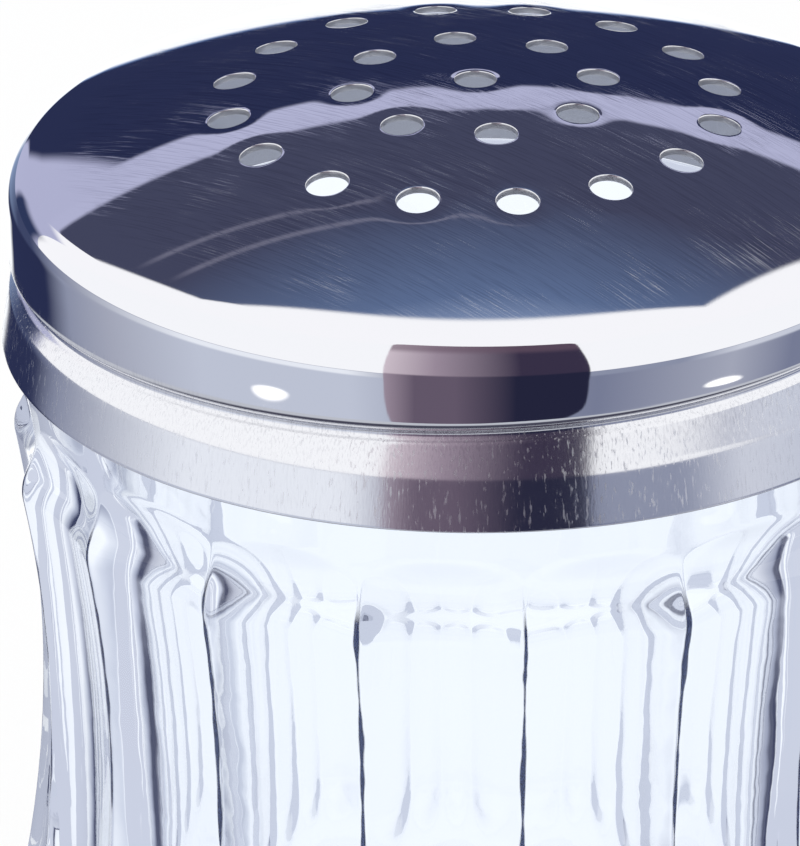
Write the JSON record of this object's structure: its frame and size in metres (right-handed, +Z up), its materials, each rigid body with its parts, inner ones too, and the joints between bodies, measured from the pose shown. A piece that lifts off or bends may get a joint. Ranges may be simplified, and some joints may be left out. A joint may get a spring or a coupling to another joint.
{
  "type": "spice shaker",
  "caption": "Fluted clear glass table shaker with a domed, perforated stainless steel screw lid for sprinkling spices, cheese or sugar.",
  "frame": {"origin": "centre of the jar's foot, on the table, at the bottom of the row", "axes": "+Z up along the shaker's axis, from the foot to the dome; -Y is the front of the picture"},
  "size_m": [0.076, 0.076, 0.1],
  "materials": {
    "glass": "clear pressed glass, fire polished",
    "steel": "bright polished with fine scratches"
  },
  "bodies": {
    "jar": {"glass_jar": "glass"},
    "lid": {"perforated_lid": "steel"}
  },
  "joints": [
    {"name": "lid_lift", "type": "slide", "parent": "jar", "child": "lid", "axis": [0, 0, 1], "range_m": [0, 0.03]}
  ]
}
